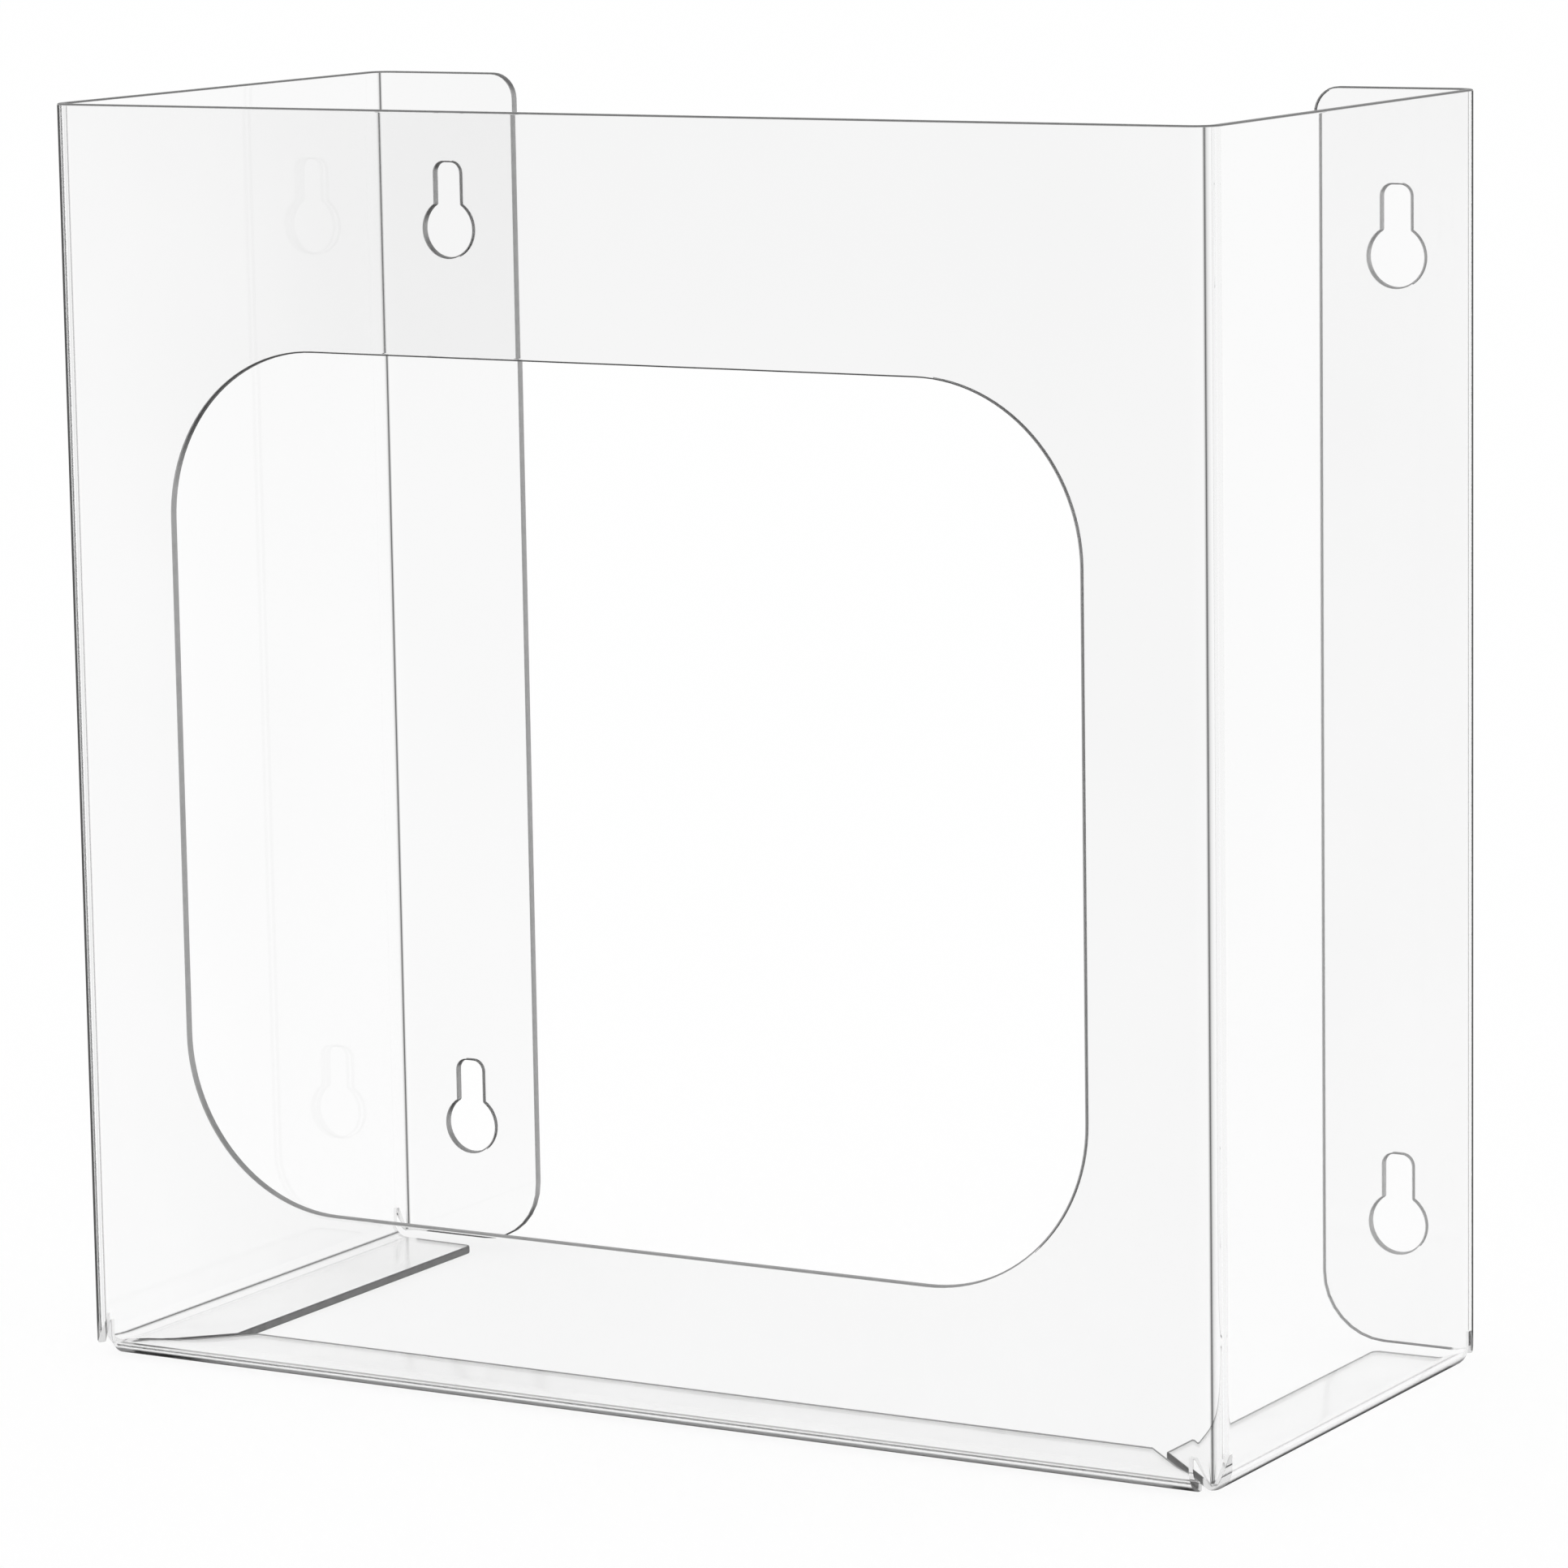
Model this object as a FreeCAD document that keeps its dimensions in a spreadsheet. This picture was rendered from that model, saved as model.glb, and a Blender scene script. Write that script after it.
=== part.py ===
import FreeCAD, Part
import math
import os
import Sketcher

# Wall dispenser for boxed protective wear, folded from one clear plastic sheet.
# Millimetres. +Z is up, +Y points to the wall, the front panel faces -Y.
# The origin is at the middle of the footprint, on the surface the lips rest on.

NODE = "dispenser_sheet"

# Driving dimensions: name, value, what it measures
SIZES = [
    ("overallWidth", 308.0, "outside, side panel to side panel"),
    ("overallDepth", 142.0, "front face to wall face"),
    ("overallHeight", 305.0, "lip underside to top edge"),
    ("sheetThickness", 2.0, "the one sheet that everything is folded from"),
    ("bendRadius", 3.7, "inside radius of every fold"),
    ("flangeWidth", 42.4, "wall flange, from the outside of the side panel"),
    ("flangeTopRadius", 6.5, "free upper corner of a wall flange"),
    ("flangeFootRadius", 16.0, "free lower corner of a wall flange"),
    ("footLift", 2.6, "height at which the flanges and the tips of the folds end"),
    ("frontLip", 29.6, "depth of the front lip, from the front face"),
    ("sideLip", 26.2, "width of a side lip, from the side face"),
    ("lipRelief", 1.1, "width of the slit at both ends of each bottom fold"),
    ("reliefRise", 2.9, "how far each slit runs on up past its fold"),
    ("lipSlant", 0.8, "how far a side lip's free end stands further from the wall"),
    ("lipCornerRadius", 2.0, "free back corner of a side lip"),
    ("windowSideMargin", 32.6, "side face to the window's edge"),
    ("windowTopMargin", 57.0, "top edge to the window's upper edge"),
    ("windowBottomMargin", 41.5, "lip underside to the window's lower edge"),
    ("windowRadius", 41.0, "window corners"),
    ("keyholeInset", 22.4, "side face to the keyholes' centre line"),
    ("keyholeTopDrop", 39.8, "top edge to the centre of the upper head hole"),
    ("keyholeBottomRise", 32.3, "lip underside to the centre of the lower head hole"),
    ("keyholeHead", 14.4, "diameter that passes the screw's head"),
    ("keyholeSlot", 7.4, "width of the slot that holds the screw's shank"),
    ("keyholeRise", 17.0, "head hole's centre to the slot's upper end"),
    ("keyholeSlotRadius", 2.7, "corners of the slot's upper end"),
]

# Lengths that follow from the sheet, as expressions
FOLD = "(dims.bendRadius + dims.sheetThickness)"
RIGHT = "dims.overallWidth / 2"
LEFT = "-dims.overallWidth / 2"
BACK = "dims.overallDepth / 2"
FRONT = "-dims.overallDepth / 2"
FOLD_END = f"({FOLD} + dims.lipRelief)"

# The two corners at the end of a slot or slit leave a straight piece between them,
# so neither radius is more than this share of the width
END_ROUND = 0.4
SLOT_RADIUS = f"min(dims.keyholeSlotRadius; dims.keyholeSlot * {END_ROUND})"
RELIEF_RADIUS = f"dims.lipRelief * {END_ROUND}"

# Below the slits each upright fold narrows to a tip. Its slanted edge ends this far
# from the flat panel, as a share of the fold's outer radius.
TIP_SHARE = 0.6
TAPER = f"({FOLD} * {TIP_SHARE})"

# How far a cutting outline runs past the edge it opens
OVERRUN = 5.0

# Straight stretch of the top edge that is cut beside a rounded corner
EDGE_STEP = 3.0


def buildSheet(doc):
    sheet = doc.addObject("Spreadsheet::Sheet", "dims")
    for row, (name, value, note) in enumerate(SIZES, start=1):
        sheet.set(f"A{row}", name)
        sheet.set(f"B{row}", str(value))
        sheet.set(f"C{row}", note)
        sheet.setAlias(f"B{row}", name)
    doc.recompute()
    return sheet


def originPlane(body, role):
    for feature in body.Origin.OriginFeatures:
        if feature.Role == role:
            return feature
    raise ValueError(f"no plane {role}")


def newSketch(body, name, role, offset=None):
    # The offset is the distance from the body's plane, along that plane's normal
    sketch = body.newObject("Sketcher::SketchObject", name)
    sketch.AttachmentSupport = [(originPlane(body, role), "")]
    sketch.MapMode = "FlatFace"
    if offset:
        sketch.setExpression("AttachmentOffset.Base.z", offset)
    return sketch


def bind(sketch, constraint, text):
    # Adds a driving constraint and ties its value to an expression
    index = sketch.addConstraint(constraint)
    name = f"size{index}"
    sketch.renameConstraint(index, name)
    sketch.setExpression(f"Constraints.{name}", text)


def placePoint(sketch, geometry, position, across, up):
    x = sketch.evalExpression(across)
    y = sketch.evalExpression(up)
    bind(sketch, Sketcher.Constraint("DistanceX", -1, 1, geometry, position, x), across)
    bind(sketch, Sketcher.Constraint("DistanceY", -1, 1, geometry, position, y), up)


def addLine(sketch, start, end):
    return sketch.addGeometry(Part.LineSegment(start, end), False)


def addArc(sketch, centre, radius, start, end):
    circle = Part.Circle(centre, FreeCAD.Vector(0, 0, 1), radius)
    first = math.atan2(start.y - centre.y, start.x - centre.x)
    last = math.atan2(end.y - centre.y, end.x - centre.x)
    if last <= first:
        last += 2 * math.pi
    return sketch.addGeometry(Part.ArcOfCircle(circle, first, last), False)


def addOutline(sketch, corners):
    # Closed outline of straight edges. A corner is (across, up, radius), each an
    # expression, with a radius of None where the corner is sharp.
    points = []
    radii = []
    for across, up, radius in corners:
        x = sketch.evalExpression(across)
        y = sketch.evalExpression(up)
        points.append(FreeCAD.Vector(x, y, 0))
        radii.append(sketch.evalExpression(radius) if radius else 0.0)

    # Where each rounded corner's arc leaves the edge before it and meets the one after
    count = len(corners)
    entries = []
    exits = []
    for i, point in enumerate(points):
        back = (points[i - 1] - point).normalize()
        ahead = (points[(i + 1) % count] - point).normalize()
        reach = radii[i] / math.tan(back.getAngle(ahead) / 2)
        entries.append(point + back * reach)
        exits.append(point + ahead * reach)

    lines = []
    for i in range(count):
        lines.append(addLine(sketch, exits[i], entries[(i + 1) % count]))

    for i, (across, up, radius) in enumerate(corners):
        before = lines[i - 1]
        after = lines[i]
        if not radius:
            sketch.addConstraint(Sketcher.Constraint("Coincident", before, 2, after, 1))
            placePoint(sketch, after, 1, across, up)
            continue
        corner = sketch.addGeometry(Part.Point(points[i]), True)
        placePoint(sketch, corner, 1, across, up)
        sketch.addConstraint(Sketcher.Constraint("PointOnObject", corner, 1, before))
        sketch.addConstraint(Sketcher.Constraint("PointOnObject", corner, 1, after))
        inward = (entries[i] - points[i]) + (exits[i] - points[i])
        reach = math.hypot((entries[i] - points[i]).Length, radii[i])
        centre = points[i] + inward.normalize() * reach
        turn = (points[i] - entries[i]).cross(exits[i] - points[i]).z
        ends = (1, 2) if turn > 0 else (2, 1)
        first, last = (entries[i], exits[i]) if turn > 0 else (exits[i], entries[i])
        arc = addArc(sketch, centre, radii[i], first, last)
        sketch.addConstraint(Sketcher.Constraint("Tangent", before, 2, arc, ends[0]))
        sketch.addConstraint(Sketcher.Constraint("Tangent", arc, ends[1], after, 1))
        bind(sketch, Sketcher.Constraint("Radius", arc, radii[i]), radius)


def addRoundedBox(sketch, left, right, low, high, radius):
    addOutline(
        sketch,
        [
            (left, low, radius),
            (right, low, radius),
            (right, high, radius),
            (left, high, radius),
        ],
    )


def addTrimOutline(sketch, start, end):
    # All below a panel that lies between two upright folds, with a slit that runs on
    # up beside each of them and slants outwards as it comes down
    top = f"{FOLD} + dims.reliefRise"
    low = "dims.footLift"
    addOutline(
        sketch,
        [
            (f"{start} + {FOLD} - {TAPER}", f"-{OVERRUN}", None),
            (f"{end} - {FOLD} + {TAPER}", f"-{OVERRUN}", None),
            (f"{end} - {FOLD} + {TAPER}", low, None),
            (f"{end} - {FOLD}", top, RELIEF_RADIUS),
            (f"{end} - {FOLD_END}", top, RELIEF_RADIUS),
            (f"{end} - {FOLD_END}", FOLD, None),
            (f"{start} + {FOLD_END}", FOLD, None),
            (f"{start} + {FOLD_END}", top, RELIEF_RADIUS),
            (f"{start} + {FOLD}", top, RELIEF_RADIUS),
            (f"{start} + {FOLD} - {TAPER}", low, None),
        ],
    )


def addFoldSection(sketch, across, up):
    # A quarter turn of the sheet, from the panel at the left to the lip below,
    # about the fold's axis at (across, up)
    inner = sketch.evalExpression("dims.bendRadius")
    outer = sketch.evalExpression(FOLD)
    axis = FreeCAD.Vector(sketch.evalExpression(across), sketch.evalExpression(up), 0)
    toPanel = FreeCAD.Vector(-1, 0, 0)
    toLip = FreeCAD.Vector(0, -1, 0)
    outerArc = addArc(sketch, axis, outer, axis + toPanel * outer, axis + toLip * outer)
    innerArc = addArc(sketch, axis, inner, axis + toPanel * inner, axis + toLip * inner)
    panelEdge = addLine(sketch, axis + toPanel * outer, axis + toPanel * inner)
    lipEdge = addLine(sketch, axis + toLip * inner, axis + toLip * outer)
    placePoint(sketch, outerArc, 3, across, up)
    bind(sketch, Sketcher.Constraint("Radius", outerArc, outer), FOLD)
    bind(sketch, Sketcher.Constraint("Radius", innerArc, inner), "dims.bendRadius")
    for first, firstEnd, second, secondEnd in [
        (outerArc, 3, innerArc, 3),
        (panelEdge, 1, outerArc, 1),
        (panelEdge, 2, innerArc, 1),
        (lipEdge, 1, innerArc, 2),
        (lipEdge, 2, outerArc, 2),
    ]:
        joint = Sketcher.Constraint("Coincident", first, firstEnd, second, secondEnd)
        sketch.addConstraint(joint)
    sketch.addConstraint(Sketcher.Constraint("Horizontal", outerArc, 1, outerArc, 3))
    sketch.addConstraint(Sketcher.Constraint("Horizontal", innerArc, 1, innerArc, 3))
    sketch.addConstraint(Sketcher.Constraint("Vertical", outerArc, 2, outerArc, 3))
    sketch.addConstraint(Sketcher.Constraint("Vertical", innerArc, 2, innerArc, 3))


def addKeyhole(sketch, across, up):
    # Round head hole about (across, up), with a slot that rises from it
    x = sketch.evalExpression(across)
    y = sketch.evalExpression(up)
    head = sketch.evalExpression("dims.keyholeHead / 2")
    half = sketch.evalExpression("dims.keyholeSlot / 2")
    corner = sketch.evalExpression(SLOT_RADIUS)
    top = y + sketch.evalExpression("dims.keyholeRise")
    neck = y + math.sqrt(head * head - half * half)
    bend = top - corner
    flat = half - corner

    def at(dx, height):
        return FreeCAD.Vector(x + dx, height, 0)

    headArc = addArc(sketch, at(0, y), head, at(-half, neck), at(half, neck))
    leftSide = addLine(sketch, at(-half, neck), at(-half, bend))
    leftArc = addArc(sketch, at(-flat, bend), corner, at(-flat, top), at(-half, bend))
    topSide = addLine(sketch, at(-flat, top), at(flat, top))
    rightArc = addArc(sketch, at(flat, bend), corner, at(half, bend), at(flat, top))
    rightSide = addLine(sketch, at(half, bend), at(half, neck))

    placePoint(sketch, headArc, 3, across, up)
    bind(sketch, Sketcher.Constraint("Radius", headArc, head), "dims.keyholeHead / 2")
    for arc in (leftArc, rightArc):
        bind(sketch, Sketcher.Constraint("Radius", arc, corner), SLOT_RADIUS)
    for kind, *places in [
        ("Coincident", headArc, 1, leftSide, 1),
        ("Coincident", headArc, 2, rightSide, 2),
        ("Tangent", leftSide, 2, leftArc, 2),
        ("Tangent", leftArc, 1, topSide, 1),
        ("Tangent", topSide, 2, rightArc, 2),
        ("Tangent", rightArc, 1, rightSide, 1),
        ("Vertical", leftSide),
        ("Vertical", rightSide),
        ("Horizontal", topSide),
    ]:
        sketch.addConstraint(Sketcher.Constraint(kind, *places))
    for side, sign, start in ((leftSide, "-", x - half), (rightSide, "+", x + half)):
        limit = Sketcher.Constraint("DistanceX", -1, 1, side, 1, start)
        bind(sketch, limit, f"{across} {sign} dims.keyholeSlot / 2")
    height = Sketcher.Constraint("DistanceY", -1, 1, topSide, 1, top)
    bind(sketch, height, f"{up} + dims.keyholeRise")


def addPad(body, name, sketch, length, symmetric=False):
    pad = body.newObject("PartDesign::Pad", name)
    pad.Profile = sketch
    pad.setExpression("Length", length)
    pad.Midplane = symmetric
    return pad


def addCut(doc, body, name, sketch, backward=False, symmetric=False):
    # Cuts all the way through, away from the sketch, and makes sure that it did
    before = body.Shape.Volume
    cut = body.newObject("PartDesign::Pocket", name)
    cut.Profile = sketch
    cut.Type = "ThroughAll"
    cut.Reversed = backward
    cut.Midplane = symmetric
    doc.recompute()
    if body.Shape.Volume >= before:
        raise ValueError(f"{name} removes nothing")
    return cut


def buildPanels(doc, body):
    # Front, sides and back as one upright band, with a fold at each corner
    sketch = newSketch(body, "bandOutline", "XY_Plane", "dims.footLift")
    addRoundedBox(sketch, LEFT, RIGHT, FRONT, BACK, FOLD)
    addRoundedBox(
        sketch,
        f"{LEFT} + dims.sheetThickness",
        f"{RIGHT} - dims.sheetThickness",
        f"{FRONT} + dims.sheetThickness",
        f"{BACK} - dims.sheetThickness",
        "dims.bendRadius",
    )
    addPad(body, "band", sketch, "dims.overallHeight - dims.footLift")
    doc.recompute()

    # Below the bottom folds only the four upright folds and the flanges go on down
    sketch = newSketch(body, "sideTrimOutline", "YZ_Plane")
    addTrimOutline(sketch, FRONT, BACK)
    addCut(doc, body, "sideTrim", sketch, symmetric=True)
    sketch = newSketch(body, "frontTrimOutline", "XZ_Plane", f"{BACK} - {FOLD}")
    addTrimOutline(sketch, LEFT, RIGHT)
    addCut(doc, body, "frontTrim", sketch, backward=True)


def buildFlanges(doc, body):
    # Opens the back between the two wall flanges and rounds their free corners
    sketch = newSketch(body, "backOpeningOutline", "XZ_Plane", f"-({BACK} - {FOLD})")
    low = "dims.footLift"
    high = "dims.overallHeight"
    above = f"dims.overallHeight + {OVERRUN}"
    below = f"-{OVERRUN}"
    left = f"{LEFT} + dims.flangeWidth"
    right = f"{RIGHT} - dims.flangeWidth"
    topRound = f"(dims.flangeTopRadius + {EDGE_STEP})"
    addOutline(
        sketch,
        [
            (left, low, "dims.flangeFootRadius"),
            (left, high, "dims.flangeTopRadius"),
            (f"{left} - {topRound}", high, None),
            (f"{left} - {topRound}", above, None),
            (f"{right} + {topRound}", above, None),
            (f"{right} + {topRound}", high, None),
            (right, high, "dims.flangeTopRadius"),
            (right, low, "dims.flangeFootRadius"),
            (RIGHT, low, None),
            (RIGHT, below, None),
            (LEFT, below, None),
            (LEFT, low, None),
        ],
    )
    addCut(doc, body, "backOpening", sketch)


def buildLips(doc, body):
    # Bottom folds and lips. Where two lips meet, both are mitred at 45 degrees from
    # the end of their fold, so that the relief at the corner leaves an even gap.
    sketch = newSketch(body, "frontFoldSection", "YZ_Plane")
    addFoldSection(sketch, f"{FRONT} + {FOLD}", FOLD)
    length = f"dims.overallWidth - 2 * {FOLD_END}"
    addPad(body, "frontFold", sketch, length, symmetric=True)

    sketch = newSketch(body, "frontLipOutline", "XY_Plane")
    root = f"{FRONT} + {FOLD}"
    free = f"{FRONT} + dims.frontLip"
    tip = "(dims.frontLip + dims.lipRelief)"
    addOutline(
        sketch,
        [
            (f"{LEFT} + {FOLD_END}", root, None),
            (f"{RIGHT} - {FOLD_END}", root, None),
            (f"{RIGHT} - {tip}", free, None),
            (f"{LEFT} + {tip}", free, None),
        ],
    )
    addPad(body, "frontLip", sketch, "dims.sheetThickness")

    sketch = newSketch(body, "sideFoldSection", "XZ_Plane")
    addFoldSection(sketch, f"{LEFT} + {FOLD}", FOLD)
    length = f"dims.overallDepth - 2 * {FOLD_END}"
    sideFold = addPad(body, "sideFold", sketch, length, symmetric=True)

    sketch = newSketch(body, "sideLipOutline", "XY_Plane")
    root = f"{LEFT} + {FOLD}"
    free = f"{LEFT} + dims.sideLip"
    addOutline(
        sketch,
        [
            (root, f"{FRONT} + {FOLD_END}", None),
            (free, f"{FRONT} + dims.sideLip + dims.lipRelief", None),
            (free, f"{BACK} - {FOLD_END} - dims.lipSlant", "dims.lipCornerRadius"),
            (root, f"{BACK} - {FOLD_END}", None),
        ],
    )
    sideLip = addPad(body, "sideLip", sketch, "dims.sheetThickness")
    doc.recompute()
    mirrorAcross(doc, body, "otherSideLip", [sideFold, sideLip])


def mirrorAcross(doc, body, name, features):
    # Repeats features of the left half on the right half
    mirror = body.newObject("PartDesign::Mirrored", name)
    mirror.Originals = features
    mirror.MirrorPlane = (originPlane(body, "YZ_Plane"), [""])
    body.Tip = mirror
    doc.recompute()
    return mirror


def buildWindow(doc, body):
    sketch = newSketch(body, "windowOutline", "XZ_Plane", f"{BACK} - {FOLD}")
    addRoundedBox(
        sketch,
        f"{LEFT} + dims.windowSideMargin",
        f"{RIGHT} - dims.windowSideMargin",
        "dims.windowBottomMargin",
        "dims.overallHeight - dims.windowTopMargin",
        "dims.windowRadius",
    )
    addCut(doc, body, "window", sketch, backward=True)


def buildKeyholes(doc, body):
    sketch = newSketch(body, "keyholeOutlines", "XZ_Plane", f"-({BACK} - {FOLD})")
    across = f"{LEFT} + dims.keyholeInset"
    addKeyhole(sketch, across, "dims.overallHeight - dims.keyholeTopDrop")
    addKeyhole(sketch, across, "dims.keyholeBottomRise")
    keyholes = addCut(doc, body, "keyholes", sketch)
    mirrorAcross(doc, body, "otherKeyholes", [keyholes])


def checkDocument(doc, body):
    for item in doc.Objects:
        if "Invalid" in item.State or "Error" in item.State:
            raise ValueError(f"{item.Name} did not compute: {item.State}")
    shape = body.Shape
    if shape.isNull() or not shape.isValid():
        raise ValueError("the sheet's shape is not valid")
    if len(shape.Solids) != 1:
        raise ValueError(f"the sheet came out in {len(shape.Solids)} solids")


def main():
    doc = FreeCAD.newDocument("dispenser")
    buildSheet(doc)
    body = doc.addObject("PartDesign::Body", NODE)
    body.Label = NODE
    body.Placement = FreeCAD.Placement()
    buildPanels(doc, body)
    buildFlanges(doc, body)
    buildLips(doc, body)
    buildWindow(doc, body)
    buildKeyholes(doc, body)
    doc.recompute()
    checkDocument(doc, body)
    os.makedirs("parts", exist_ok=True)
    body.Shape.exportStep(f"parts/{NODE}.step")
    box = body.Shape.BoundBox
    print(f"{NODE}: {box.XLength:.2f} x {box.YLength:.2f} x {box.ZLength:.2f} mm")
    print(f"volume {body.Shape.Volume:.0f} mm3, {len(body.Shape.Faces)} faces")


main()
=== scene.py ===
import math
import bmesh
import bpy
from mathutils import Matrix, Vector


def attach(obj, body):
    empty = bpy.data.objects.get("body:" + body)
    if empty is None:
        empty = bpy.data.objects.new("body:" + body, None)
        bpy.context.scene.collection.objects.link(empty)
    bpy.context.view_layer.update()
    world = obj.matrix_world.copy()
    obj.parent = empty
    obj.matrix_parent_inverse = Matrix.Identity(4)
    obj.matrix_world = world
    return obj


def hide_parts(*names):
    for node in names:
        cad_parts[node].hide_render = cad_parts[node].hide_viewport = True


# Clear wall dispenser, cut and folded from plastic sheet. Metres, front panel facing -Y.
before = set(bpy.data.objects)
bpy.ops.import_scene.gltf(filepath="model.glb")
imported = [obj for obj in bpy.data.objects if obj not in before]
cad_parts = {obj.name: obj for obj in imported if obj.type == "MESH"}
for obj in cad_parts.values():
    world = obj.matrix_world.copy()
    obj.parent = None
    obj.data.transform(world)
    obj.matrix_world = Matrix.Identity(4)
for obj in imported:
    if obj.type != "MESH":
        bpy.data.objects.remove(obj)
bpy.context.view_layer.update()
print("frame loaded:", ", ".join(sorted(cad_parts)))


# The sheet: what it measures, how finely it is modelled and each panel's tint with painted
# shade
sheet = {
    "width": 0.308,
    "depth": 0.142,
    "height": 0.305,
    "thickness": 0.002,
    "foldRadius": 0.0057,  # outside of every fold
    "foldSteps": 16,
    "footLift": 0.0026,  # height at which flanges and the tips of the folds end
    "slit": 0.0011,  # relief at both ends of each bottom fold
    "slitRise": 0.0029,  # how far it runs on up past the fold
    "tipShare": 0.6,  # how much of a fold's radius its slanted foot takes up
    "frontLip": 0.0296,
    "sideLip": 0.0262,
    "lipSlant": 0.0008,
    "lipCorner": 0.002,
    "flange": 0.0424,
    "flangeTopCorner": 0.0065,
    "flangeFootCorner": 0.016,
    "windowSide": 0.0326,
    "windowTop": 0.057,
    "windowBottom": 0.0415,
    "windowCorner": 0.041,
    "windowSteps": 28,
    "cornerSteps": 8,
    "keyholeInset": 0.0224,
    "keyholeTopDrop": 0.0398,
    "keyholeBottomRise": 0.0323,
    "headHole": 0.0144,
    "slot": 0.0074,
    "slotRise": 0.017,
    "slotCorner": 0.0027,
    "keyholeSteps": 36,
    "softEdge": 0.0004,  # width of the tiny rounding along cut edges
    "softEdgeSteps": 2,
    "edgeRow": 0.0006,  # width of the row of faces round each panel that carries it
    "sideNarrow": 0.22,  # how much thinner the side lips' folds are outlined
    "frontTintAndShade": 0.918,  # share of the light that each panel lets through, the sheet's tint set apart per panel by painted shade
    "sideTintAndShade": 0.96,
    "flangeTintAndShade": 0.94,
    "lipTintAndShade": 0.99,
}

right = sheet["width"] / 2
front = -sheet["depth"] / 2
back = sheet["depth"] / 2
top = sheet["height"]
foot = sheet["footLift"]
fold = sheet["foldRadius"]
foldEnd = fold + sheet["slit"]
slitTop = fold + sheet["slitRise"]
touching = 1e-5  # points closer than this are the same point, or in the same plane

# Where each flat panel's drawing plane lies in the object
quarterTurn = math.pi / 2
standing = Matrix.Rotation(quarterTurn, 4, "X")
frontPlane = Matrix.Translation((0, front, 0)) @ standing
backPlane = Matrix.Translation((0, back, 0)) @ standing
sidePlane = Matrix.Translation((right, 0, 0)) @ Matrix.Rotation(quarterTurn, 4, "Z") @ standing
floorPlane = Matrix.Identity(4)


def roundCorner(drawing, point, radius, steps):
    bmesh.ops.bevel(
        drawing, geom=[point], offset=radius, offset_type="OFFSET", segments=steps,
        profile=0.5, affect="VERTICES", material=-1, clamp_overlap=False)


def drawLoop(drawing, corners, steps):
    # Closed outline through corners of (across, up, radius)
    points = [drawing.verts.new((corner[0], corner[1], 0)) for corner in corners]
    drawing.faces.new(points)
    for point, corner in zip(points, corners):
        if corner[2]:
            roundCorner(drawing, point, corner[2], steps)


def drawKeyhole(drawing, across, up):
    # Round hole for a screw's head, with a slot that rises from it for the shank
    radius = sheet["headHole"] / 2
    half = sheet["slot"] / 2
    neck = math.sqrt(radius * radius - half * half)
    opening = 2 * math.asin(half / radius)
    start = drawing.verts.new((across - half, up + neck, 0))
    turned = bmesh.ops.spin(
        drawing, geom=[start], cent=(across, up, 0), axis=(0, 0, 1),
        angle=2 * math.pi - opening, steps=sheet["keyholeSteps"], use_duplicate=False)
    end = [item for item in turned["geom_last"] if isinstance(item, bmesh.types.BMVert)][0]
    slotEnd = up + sheet["slotRise"]
    topRight = drawing.verts.new((across + half, slotEnd, 0))
    topLeft = drawing.verts.new((across - half, slotEnd, 0))
    for first, second in ((end, topRight), (topRight, topLeft), (topLeft, start)):
        drawing.edges.new((first, second))
    bmesh.ops.edgenet_fill(drawing, edges=[edge for edge in drawing.edges if edge.is_wire])
    for point in (topRight, topLeft):
        roundCorner(drawing, point, sheet["slotCorner"], sheet["cornerSteps"])


def addPanel(skin, drawing, plane):
    # Fills the space between the drawing's loops and adds it to the skin
    bmesh.ops.delete(drawing, geom=list(drawing.faces), context="FACES_ONLY")
    bmesh.ops.triangle_fill(drawing, use_beauty=True, edges=list(drawing.edges))
    bmesh.ops.transform(drawing, matrix=plane, verts=drawing.verts)
    mesh = bpy.data.meshes.new("panel")
    drawing.to_mesh(mesh)
    drawing.free()
    skin.from_mesh(mesh)
    bpy.data.meshes.remove(mesh)


def addFold(skin, points, centre, axis, tintAndShadeEnds, slants=(), narrow=0.0):
    # Quarter turn of the sheet, spun from the line through the points. Its layer "turn"
    # runs from 0 at both flat panels to 1 in the middle of the fold, and "clear" from one
    # panel's tint and painted shade to the other's. "narrow" makes the fold's outline thinner.
    # Each slant is a point and a normal of the plane that cuts off a foot.
    before = set(skin.verts)
    line = [skin.verts.new(point) for point in points]
    edges = [skin.edges.new(pair) for pair in zip(line, line[1:])]
    bmesh.ops.spin(
        skin, geom=line + edges, cent=centre, axis=axis, angle=quarterTurn,
        steps=sheet["foldSteps"], use_duplicate=False)
    turn = skin.verts.layers.float["turn"]
    clear = skin.verts.layers.float["clear"]
    thin = skin.verts.layers.float["narrow"]
    fresh = [vert for vert in skin.verts if vert not in before]
    middle = Vector(centre)
    along = Vector(axis)
    start = line[0].co - middle
    start = start - along * start.dot(along)
    for vert in fresh:
        arm = vert.co - middle
        arm = arm - along * arm.dot(along)
        share = arm.angle(start) / quarterTurn
        vert[turn] = 1 - abs(2 * share - 1)
        vert[clear] = tintAndShadeEnds[0] + (tintAndShadeEnds[1] - tintAndShadeEnds[0]) * share
        vert[thin] = narrow
    for point, normal in slants:
        faces = {face for vert in fresh if vert.is_valid for face in vert.link_faces}
        verts = {vert for face in faces for vert in face.verts}
        sides = {edge for face in faces for edge in face.edges}
        bmesh.ops.bisect_plane(
            skin, geom=list(verts) + list(sides) + list(faces), dist=1e-6,
            plane_co=point, plane_no=normal, clear_outer=True)


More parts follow.
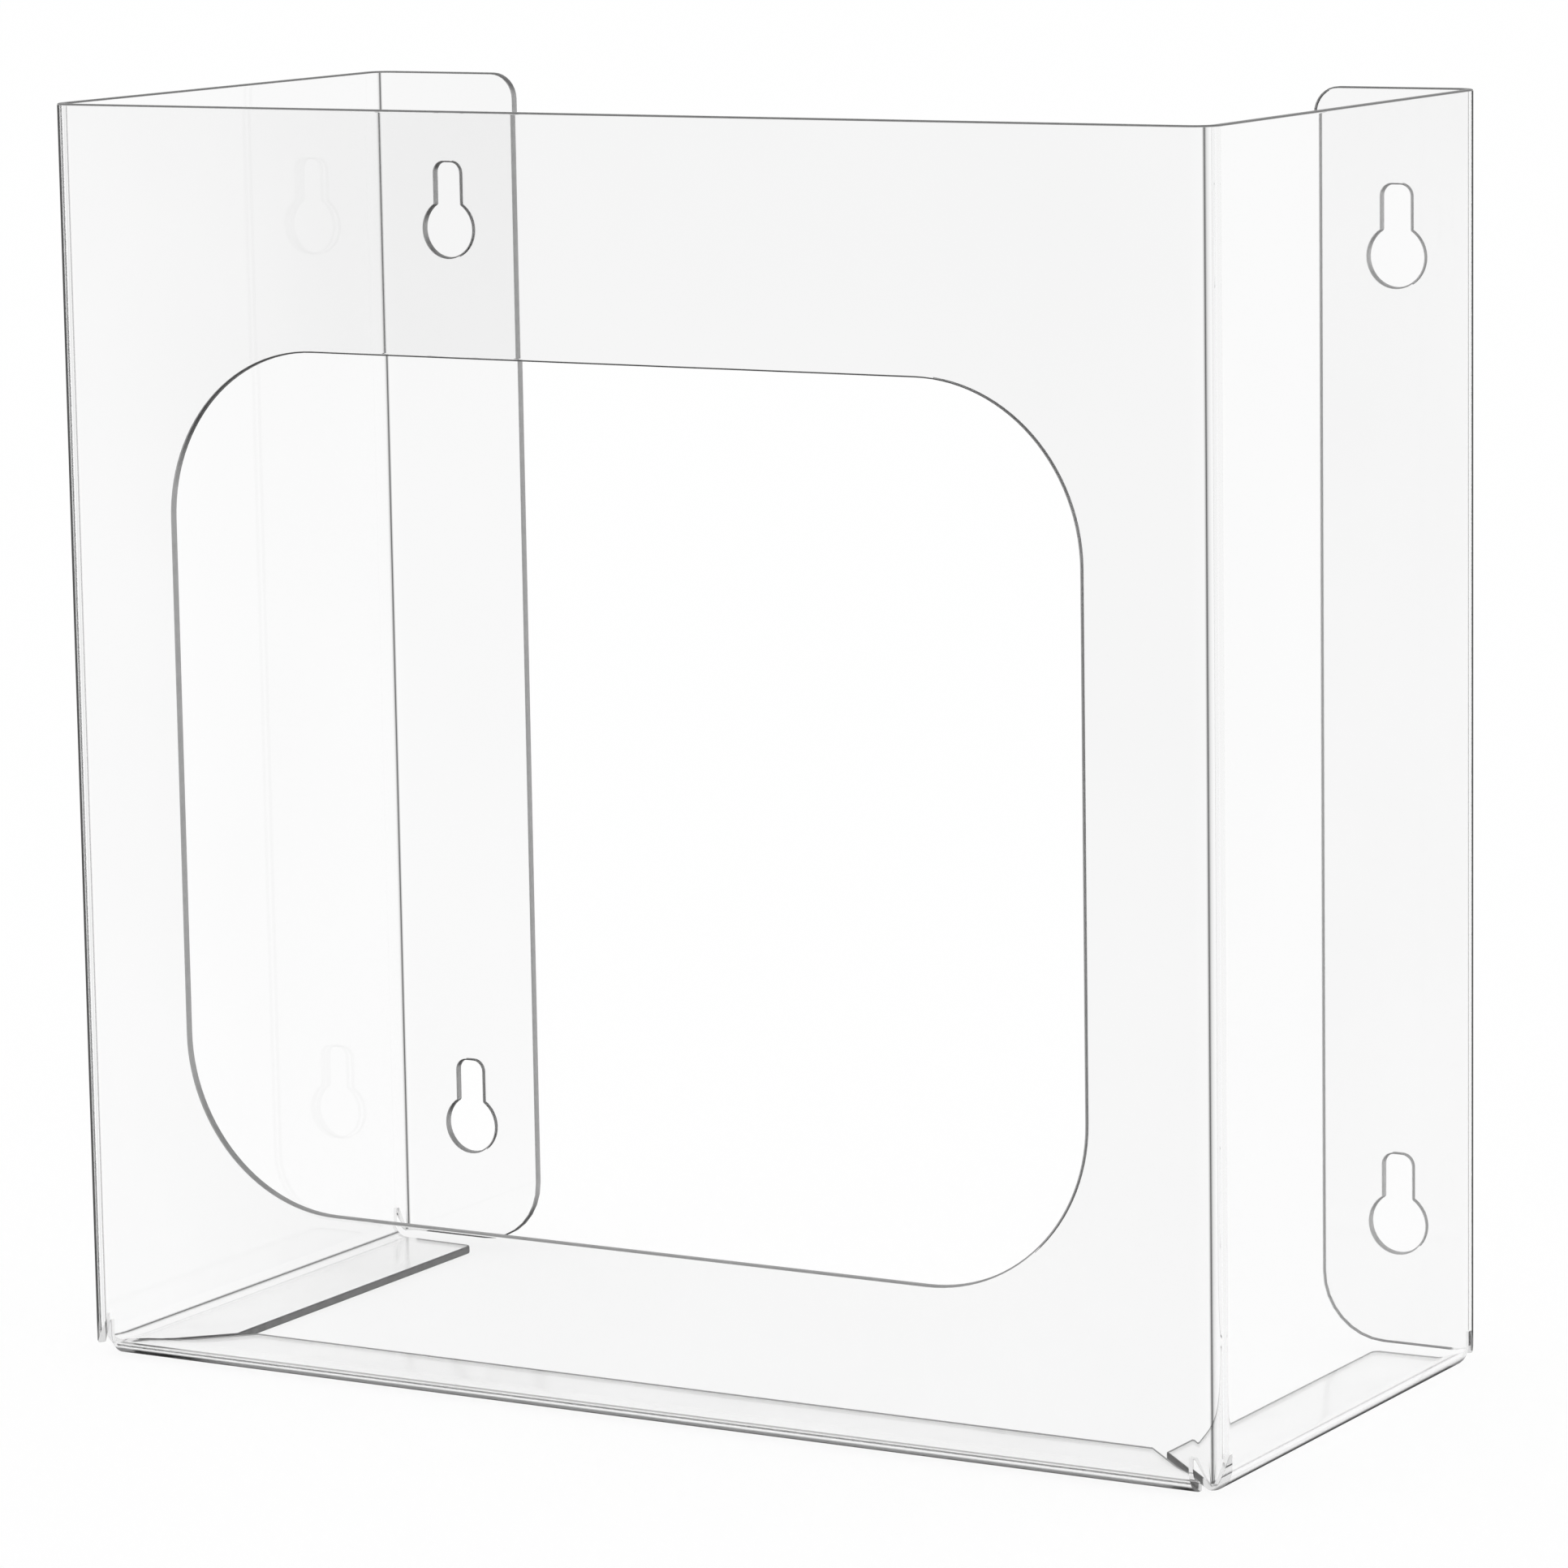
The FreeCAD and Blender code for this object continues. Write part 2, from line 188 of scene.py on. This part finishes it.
def addPanels(skin):
    # Front panel with half of the window
    windowRight = right - sheet["windowSide"]
    windowTop = top - sheet["windowTop"]
    drawing = bmesh.new()
    drawLoop(drawing, [
        (0, fold, 0),
        (right - foldEnd, fold, 0),
        (right - foldEnd, slitTop, 0),
        (right - fold, slitTop, 0),
        (right - fold, top, 0),
        (0, top, 0),
        (0, windowTop, 0),
        (windowRight, windowTop, sheet["windowCorner"]),
        (windowRight, sheet["windowBottom"], sheet["windowCorner"]),
        (0, sheet["windowBottom"], 0),
    ], sheet["windowSteps"])
    addPanel(skin, drawing, frontPlane)

    # Side panel
    drawing = bmesh.new()
    drawLoop(drawing, [
        (front + foldEnd, fold, 0),
        (back - foldEnd, fold, 0),
        (back - foldEnd, slitTop, 0),
        (back - fold, slitTop, 0),
        (back - fold, top, 0),
        (front + fold, top, 0),
        (front + fold, slitTop, 0),
        (front + foldEnd, slitTop, 0),
    ], sheet["cornerSteps"])
    addPanel(skin, drawing, sidePlane)

    # Wall flange with its keyholes
    drawing = bmesh.new()
    flangeEdge = right - sheet["flange"]
    keyholeMiddle = right - sheet["keyholeInset"]
    drawLoop(drawing, [
        (flangeEdge, foot, sheet["flangeFootCorner"]),
        (right - fold, foot, 0),
        (right - fold, slitTop, 0),
        (right - fold, top, 0),
        (flangeEdge, top, sheet["flangeTopCorner"]),
    ], sheet["cornerSteps"])
    drawKeyhole(drawing, keyholeMiddle, top - sheet["keyholeTopDrop"])
    drawKeyhole(drawing, keyholeMiddle, sheet["keyholeBottomRise"])
    addPanel(skin, drawing, backPlane)

    # Front lip
    drawing = bmesh.new()
    drawLoop(drawing, [
        (0, front + fold, 0),
        (right - foldEnd, front + fold, 0),
        (right - sheet["frontLip"] - sheet["slit"], front + sheet["frontLip"], 0),
        (0, front + sheet["frontLip"], 0),
    ], sheet["cornerSteps"])
    addPanel(skin, drawing, floorPlane)

    # Side lip
    drawing = bmesh.new()
    drawLoop(drawing, [
        (right - fold, front + foldEnd, 0),
        (right - fold, back - foldEnd, 0),
        (right - sheet["sideLip"], back - foldEnd - sheet["lipSlant"], sheet["lipCorner"]),
        (right - sheet["sideLip"], front + sheet["sideLip"] + sheet["slit"], 0),
    ], sheet["cornerSteps"])
    addPanel(skin, drawing, floorPlane)


def buildSkin():
    # Outer skin of the right half, mirrored to the left
    skin = bmesh.new()
    addPanels(skin)
    skin.verts.layers.float.new("turn")
    skin.verts.layers.float.new("narrow")

    # Each panel's tint with painted shade, by the plane it lies in
    clear = skin.verts.layers.float.new("clear")
    frontTintAndShade, sideTintAndShade = sheet["frontTintAndShade"], sheet["sideTintAndShade"]
    flangeTintAndShade, lipTintAndShade = sheet["flangeTintAndShade"], sheet["lipTintAndShade"]
    planes = (
        (2, 0, lipTintAndShade), (0, right, sideTintAndShade), (1, back, flangeTintAndShade), (1, front, frontTintAndShade))
    for axis, place, level in planes:
        for vert in skin.verts:
            if abs(vert.co[axis] - place) < touching:
                vert[clear] = level

    # Below the slits the upright folds narrow to a tip
    upright = (foot, slitTop, top)
    drop = slitTop - foot
    taper = fold * sheet["tipShare"]
    frontSlant = ((right - fold, front, slitTop), (-drop, 0, -taper))
    sideSlants = [
        ((right, side * (back - fold), slitTop), (0, -side * drop, -taper)) for side in (-1, 1)]
    addFold(
        skin, [(right - fold, front, z) for z in upright],
        (right - fold, front + fold, 0), (0, 0, 1), (frontTintAndShade, sideTintAndShade),
        [frontSlant, sideSlants[0]])
    addFold(
        skin, [(right, back - fold, z) for z in upright],
        (right - fold, back - fold, 0), (0, 0, 1), (sideTintAndShade, flangeTintAndShade),
        [sideSlants[1]])
    addFold(
        skin, [(x, front, fold) for x in (0, right - foldEnd)],
        (0, front + fold, fold), (1, 0, 0), (frontTintAndShade, lipTintAndShade))
    addFold(
        skin, [(right, y, fold) for y in (front + foldEnd, back - foldEnd)],
        (right - fold, 0, fold), (0, 1, 0), (sideTintAndShade, lipTintAndShade),
        narrow=sheet["sideNarrow"])

    bmesh.ops.remove_doubles(skin, verts=skin.verts, dist=touching)
    bmesh.ops.mirror(
        skin, geom=list(skin.verts) + list(skin.edges) + list(skin.faces), axis="X",
        merge_dist=touching)
    bmesh.ops.remove_doubles(skin, verts=skin.verts, dist=touching)

    # A narrow row of faces round each flat panel keeps the rounded edges off its middle
    for axis, place in ((1, front), (1, back), (0, right), (0, -right), (2, 0)):
        panel = [
            face for face in skin.faces
            if all(abs(vert.co[axis] - place) < touching for vert in face.verts)]
        bmesh.ops.inset_region(
            skin, faces=panel, use_boundary=True, use_even_offset=True,
            thickness=sheet["edgeRow"])
    bmesh.ops.recalc_face_normals(skin, faces=skin.faces)
    return skin


def finishSheet(skin, outer, cut, inner):
    # Gives the skin its thickness inwards, softens the cut edges and keeps flat faces flat
    mesh = bpy.data.meshes.new("foldedSheet")
    skin.to_mesh(mesh)
    skin.free()
    for material in (outer, cut, inner):
        mesh.materials.append(material)
    mesh.polygons.foreach_set("use_smooth", [True] * len(mesh.polygons))
    piece = bpy.data.objects.new("foldedSheet", mesh)
    bpy.context.scene.collection.objects.link(piece)

    wall = piece.modifiers.new("wall", "SOLIDIFY")
    wall.thickness = sheet["thickness"]
    wall.offset = -1
    wall.use_even_offset = True
    wall.material_offset = 2
    wall.material_offset_rim = 1

    edge = piece.modifiers.new("softEdge", "BEVEL")
    edge.width = sheet["softEdge"]
    edge.segments = sheet["softEdgeSteps"]
    edge.limit_method = "ANGLE"
    edge.angle_limit = math.radians(40)
    edge.material = 1
    edge.use_clamp_overlap = False

    shading = piece.modifiers.new("shading", "WEIGHTED_NORMAL")
    shading.weight = 100
    return piece


class Wire:
    # One output of a node tree. Sums on wires add Math nodes, and the first wire of a
    # tree has no output, only the tree.
    def __init__(self, tree, socket=None):
        self.tree = tree
        self.socket = socket

    def node(self, kind, settings=None, inputs=None, output=0):
        made = self.tree.nodes.new(kind)
        for name, value in (settings or {}).items():
            setattr(made, name, value)
        for name, value in (inputs or {}).items():
            if isinstance(value, Wire):
                self.tree.links.new(value.socket, made.inputs[name])
            else:
                made.inputs[name].default_value = value
        return Wire(self.tree, made.outputs[output] if len(made.outputs) else None)

    def maths(self, operation, first, second):
        return self.node("ShaderNodeMath", {"operation": operation}, {0: first, 1: second})

    def __add__(self, other):
        return self.maths("ADD", self, other)

    def __radd__(self, other):
        return self.maths("ADD", other, self)

    def __sub__(self, other):
        return self.maths("SUBTRACT", self, other)

    def __rsub__(self, other):
        return self.maths("SUBTRACT", other, self)

    def __mul__(self, other):
        return self.maths("MULTIPLY", self, other)

    def __rmul__(self, other):
        return self.maths("MULTIPLY", other, self)

    def __truediv__(self, other):
        return self.maths("DIVIDE", self, other)

    def __rtruediv__(self, other):
        return self.maths("DIVIDE", other, self)

    def most(self, other):
        return self.maths("MAXIMUM", self, other)

    def above(self, level):
        return self.maths("GREATER_THAN", self, level)

    def ramp(self, low, high):
        # Soft step from 0 at low to 1 at high
        return self.node(
            "ShaderNodeMapRange", {"interpolation_type": "SMOOTHSTEP"},
            {"Value": self, "From Min": low, "From Max": high})


def newMaterial(name):
    material = bpy.data.materials.new(name)
    material.use_nodes = True
    material.node_tree.nodes.clear()
    return material, Wire(material.node_tree)


def seenDirectly(start):
    # 1 for camera, mirror and see-through rays, 0 for all light that only illuminates
    camera = start.node("ShaderNodeLightPath", output="Is Camera Ray")
    glossy = start.node("ShaderNodeLightPath", output="Is Glossy Ray")
    through = start.node("ShaderNodeLightPath", output="Is Transmission Ray")
    return camera.most(glossy).most(through)


# The clear faces: how they vary, the painted light on them, and the painted shade lines along
# the folds
plastic = {
    "haze": 0.015,  # how far the tint varies in soft clouds
    "cloudScale": 14,
    "paintedLightFoot": 0.02,  # painted light: how much paler the panels are made low down
    "paintedLightLeft": 0.03,  # painted light also on the front towards its left end
    "paintedLightFrom": -0.065,  # where that begins and where it is full
    "paintedLightTo": -0.115,
    "gloss": 0.012,
    "scuff": 0.13,  # how dull the boxes have rubbed the lips
    "ior": 1.57,
    "mirror": 0.1,  # strength of mirror images on the faces
    "wave": 0.02,
    "waveScale": 9,
    "waveDepth": 0.001,
    "foldShadeStart": 0.8,  # where along a fold's turn its painted shade line begins
    "foldShadeLight": 0.01,  # what the painted shade line lets through on the inside of a fold
    "foldShadeFaint": 0.7,  # and on the outside
    "foldShadeGlance": 0.12,  # what it lets through where the sheet is seen at a low angle
    "glanceStart": 0.2,  # how low that angle is, from 0 for face-on to 1 for edge-on
    "glanceEnd": 0.3,
    "outlineStart": 0.5,  # how far a fold turns away before its outline darkens
    "outlineEnd": 0.63,
    "outlineLight": 0.3,  # what the outline lets through on the outside of a fold
    "outlineFaint": 0.5,  # and on the inside
    "trapped": 0.94,  # what is left of light that runs on inside the sheet
    "shadeLight": 0.93,  # what the sheet lets through to its own shadow
}

# The cut edges
sawn = {
    "grey": 0.38,
    "markSpread": 0.05,
    "markScale": 420,
    "markBump": 0.15,
    "markDepth": 0.0002,
    "roughness": 0.38,
    "shine": 0.2,
    "upperShade": 0.68,  # how much darker edges that face up are, near the top
    "upperFoot": 0.4,  # share of that near the foot
    "underShade": 0.92,  # how much darker edges that face down are
    "lipShade": 0.55,  # and those of the lips
    "lipHeight": 0.003,
    "footClear": 0.88,  # how clear the short cuts at the feet of the folds are
    "footHeight": 0.011,
    "footWidth": 0.0085,
    "softness": 0.0005,  # half the width over which those shades begin
}


def greyOf(start, level):
    # A neutral colour from a level
    return start.node("ShaderNodeCombineColor", {}, {0: level, 1: level, 2: level})


def seeThrough(start, level):
    return start.node("ShaderNodeBsdfTransparent", {}, {"Color": (level, level, level, 1)})


def mixOf(start, share, first, second):
    return start.node("ShaderNodeMixShader", {}, {0: share, 1: first, 2: second})


def noiseOf(start, place, scale, detail):
    return start.node(
        "ShaderNodeTexNoise", {}, {"Vector": place, "Scale": scale, "Detail": detail})


def partOf(start, vector, number):
    # One number of a vector: 0 across, 1 along, 2 up
    return start.node("ShaderNodeSeparateXYZ", {}, {0: vector}, output=number)


def attributeOf(start, name):
    return start.node("ShaderNodeAttribute", {"attribute_name": name}, output="Fac")


def finishPlastic(start, surface):
    # Lets the lamps through, so that the sheet's shadow is faint
    shadow = start.node("ShaderNodeLightPath", output="Is Shadow Ray")
    lit = seeThrough(start, plastic["shadeLight"])
    mixed = mixOf(start, shadow, surface, lit)
    start.node("ShaderNodeOutputMaterial", {}, {"Surface": mixed})


def clearPlastic(name, foldShadeLight, outlineLight):
    # Glossy clear faces, with a painted shade line along every fold
    material, start = newMaterial(name)
    place = start.node("ShaderNodeTexCoord", output="Object")
    clouds = noiseOf(start, place, plastic["cloudScale"], 4)
    across, along, height = (partOf(start, place, number) for number in range(3))
    # The "clear" layer holds each panel's tint, set apart per panel by painted shade
    turn, clear, narrow = (attributeOf(start, layer) for layer in ("turn", "clear", "narrow"))
    foldShade = turn.ramp(plastic["foldShadeStart"], 1.0)

    # Painted light: the panels are made paler low down, and the front paler towards its left
    # end
    paintedLightEnd = across.ramp(plastic["paintedLightFrom"], plastic["paintedLightTo"]) * along.ramp(0.0, front)
    level = clear + (1 - height / top) * plastic["paintedLightFoot"] + paintedLightEnd * plastic["paintedLightLeft"]
    level = level + (clouds - 0.5) * (2 * plastic["haze"])
    # Painted shade darkens the middle of each fold
    level = level * (1 - foldShade * (1 - foldShadeLight))

    swell = noiseOf(start, place, plastic["waveScale"], 1)
    bump = start.node("ShaderNodeBump", {}, {
        "Strength": plastic["wave"], "Distance": plastic["waveDepth"], "Height": swell})
    upward = partOf(start, start.node("ShaderNodeTexCoord", output="Normal"), 2)
    lying = (upward * upward).ramp(0.8, 1.0)
    rubbed = lying * plastic["scuff"] * clouds * 2
    mirror = plastic["mirror"]
    surface = start.node("ShaderNodeBsdfPrincipled", {}, {
        "Base Color": greyOf(start, level),
        "Roughness": plastic["gloss"] * (0.7 + clouds * 0.6) + rubbed,
        "IOR": plastic["ior"],
        "Specular Tint": (mirror, mirror, mirror, 1),
        "Transmission Weight": 1.0,
        "Normal": bump,
    })

    # Light that keeps running round inside the sheet comes out pale
    runs = start.node("ShaderNodeLightPath", output="Glossy Depth").above(1.5)
    surface = mixOf(start, runs, surface, seeThrough(start, plastic["trapped"]))

    # Seen edge-on a fold is darkened with grey see-through layers, painted shade for the long
    # way
    # light has through the plastic there: first the painted shade line at a low angle, then the
    # outline
    facing = start.node("ShaderNodeLayerWeight", {}, {"Blend": 0.5}, output="Facing")
    glance = (facing - narrow * 3).ramp(plastic["glanceStart"], plastic["glanceEnd"])
    glance = foldShade * glance * (1 - foldShadeLight)
    surface = mixOf(start, glance, surface, seeThrough(start, plastic["foldShadeGlance"]))
    outline = (facing - narrow).ramp(plastic["outlineStart"], plastic["outlineEnd"])
    outline = outline * turn.ramp(0.0, 0.15)
    surface = mixOf(start, outline, surface, seeThrough(start, outlineLight))
    finishPlastic(start, surface)
    return material


def sawnPlastic():
    # Cut edges: grey and slightly frosted, with fine marks left by the saw
    material, start = newMaterial("cutEdges")
    soft = sawn["softness"]
    place = start.node("ShaderNodeTexCoord", output="Object")
    marks = noiseOf(start, place, sawn["markScale"], 3)
    across, height = (partOf(start, place, number) for number in (0, 2))
    upward = partOf(start, start.node("ShaderNodeTexCoord", output="Normal"), 2)

    # Painted shade: edges that face up are darker, more so near the top, those that face down
    # darker still, and the lips' edges darker too
    rise = sawn["upperFoot"] + height / top * (1 - sawn["upperFoot"])
    shade = upward.ramp(0.1, 0.6) * sawn["upperShade"] * rise
    shade = shade + upward.ramp(-0.1, -0.6) * sawn["underShade"]
    low = height.ramp(sawn["lipHeight"] + soft, sawn["lipHeight"] - soft)
    level = sawn["grey"] * (1 - shade) * (1 - low * sawn["lipShade"])
    level = level + (marks - 0.5) * (2 * sawn["markSpread"])
    bump = start.node("ShaderNodeBump", {}, {
        "Strength": sawn["markBump"], "Distance": sawn["markDepth"], "Height": marks})
    surface = start.node("ShaderNodeBsdfPrincipled", {}, {
        "Base Color": greyOf(start, level),
        "Roughness": sawn["roughness"] * (0.8 + marks * 0.4),
        "IOR": plastic["ior"],
        "Specular IOR Level": sawn["shine"],
        "Normal": bump,
    })

    # The short cuts at the feet of the folds are clearer than the long edges
    corner = right - sawn["footWidth"]
    share = across.most(0 - across).ramp(corner - soft, corner + soft)
    share = share * height.ramp(sawn["footHeight"] + 2 * soft, sawn["footHeight"] - 2 * soft)
    share = share * sawn["footClear"]
    finishPlastic(start, mixOf(start, share, surface, seeThrough(start, plastic["trapped"])))
    return material


outerFaces = clearPlastic("outerFaces", plastic["foldShadeFaint"], plastic["outlineLight"])
innerFaces = clearPlastic("innerFaces", plastic["foldShadeLight"], plastic["outlineFaint"])
folded = finishSheet(buildSkin(), outerFaces, sawnPlastic(), innerFaces)
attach(folded, "root")
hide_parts("dispenser_sheet")
print("folded sheet:", len(folded.data.polygons), "faces in the skin")


# Studio: white all round, a floor that keeps the shadow, soft lamps and the camera
studio = {
    "floorSize": 30,
    "floorGap": 0.0002,  # keeps the floor apart from the undersides of the lips
    "floorColour": 1.0,
    "floorGlow": 0.8,  # share of the floor's look that is plain white
    "ambient": 0.7,  # what the surroundings light, while they look white
    "lampSpread": 50,
    "keyStrength": 0.75,
    "keyTowards": (0.4, 0.5, -1),
    "fillStrength": 0.35,
    "fillTowards": (-0.6, 0.3, -0.8),
    "lens": 155.85,
    "sensor": 36,
    "cameraPlace": (0.8077, -1.3855, 0.3980),
    "cameraTurn": 30.11,
    "cameraDown": 9.11,
    "cameraRoll": -0.93,
}


def buildFloor():
    drawing = bmesh.new()
    bmesh.ops.create_grid(
        drawing, x_segments=1, y_segments=1, size=studio["floorSize"] / 2,
        matrix=Matrix.Translation((0, 0, -studio["floorGap"])))
    mesh = bpy.data.meshes.new("floor")
    drawing.to_mesh(mesh)
    drawing.free()
    material, start = newMaterial("paleFloor")
    grey = studio["floorColour"]
    matte = start.node("ShaderNodeBsdfDiffuse", {}, {"Color": (grey, grey, grey, 1)})
    white = start.node("ShaderNodeEmission", {}, {"Color": (1, 1, 1, 1), "Strength": 1.0})
    share = seenDirectly(start) * studio["floorGlow"]
    start.node("ShaderNodeOutputMaterial", {}, {"Surface": mixOf(start, share, matte, white)})
    mesh.materials.append(material)
    floor = bpy.data.objects.new("floor", mesh)
    bpy.context.scene.collection.objects.link(floor)


def buildWorld():
    world = bpy.data.worlds.new("studioWorld")
    bpy.context.scene.world = world
    world.use_nodes = True
    world.node_tree.nodes.clear()
    start = Wire(world.node_tree)
    ambient = start.node(
        "ShaderNodeBackground", {}, {"Color": (1, 1, 1, 1), "Strength": studio["ambient"]})
    white = start.node("ShaderNodeBackground", {}, {"Color": (1, 1, 1, 1), "Strength": 1.0})
    mixed = mixOf(start, seenDirectly(start), ambient, white)
    start.node("ShaderNodeOutputWorld", {}, {"Surface": mixed})


def addLamp(name, strength, towards):
    # Broad, soft lamp that shines along a direction
    data = bpy.data.lights.new(name, "SUN")
    data.energy = strength
    data.angle = math.radians(studio["lampSpread"])
    lamp = bpy.data.objects.new(name, data)
    lamp.rotation_euler = Vector(towards).to_track_quat("-Z", "Y").to_euler()
    bpy.context.scene.collection.objects.link(lamp)


def addCamera():
    data = bpy.data.cameras.new("camera")
    data.lens = studio["lens"]
    data.sensor_width = studio["sensor"]
    camera = bpy.data.objects.new("camera", data)
    turn = Matrix.Rotation(math.radians(studio["cameraTurn"]), 4, "Z")
    tilt = Matrix.Rotation(math.radians(90 - studio["cameraDown"]), 4, "X")
    roll = Matrix.Rotation(math.radians(studio["cameraRoll"]), 4, "Z")
    camera.matrix_world = Matrix.Translation(studio["cameraPlace"]) @ turn @ tilt @ roll
    bpy.context.scene.collection.objects.link(camera)
    bpy.context.scene.camera = camera


buildFloor()
buildWorld()
addLamp("keyLamp", studio["keyStrength"], studio["keyTowards"])
addLamp("fillLamp", studio["fillStrength"], studio["fillTowards"])
addCamera()
bpy.context.scene.view_settings.view_transform = "Standard"
print("studio: floor, world, lamps and camera")
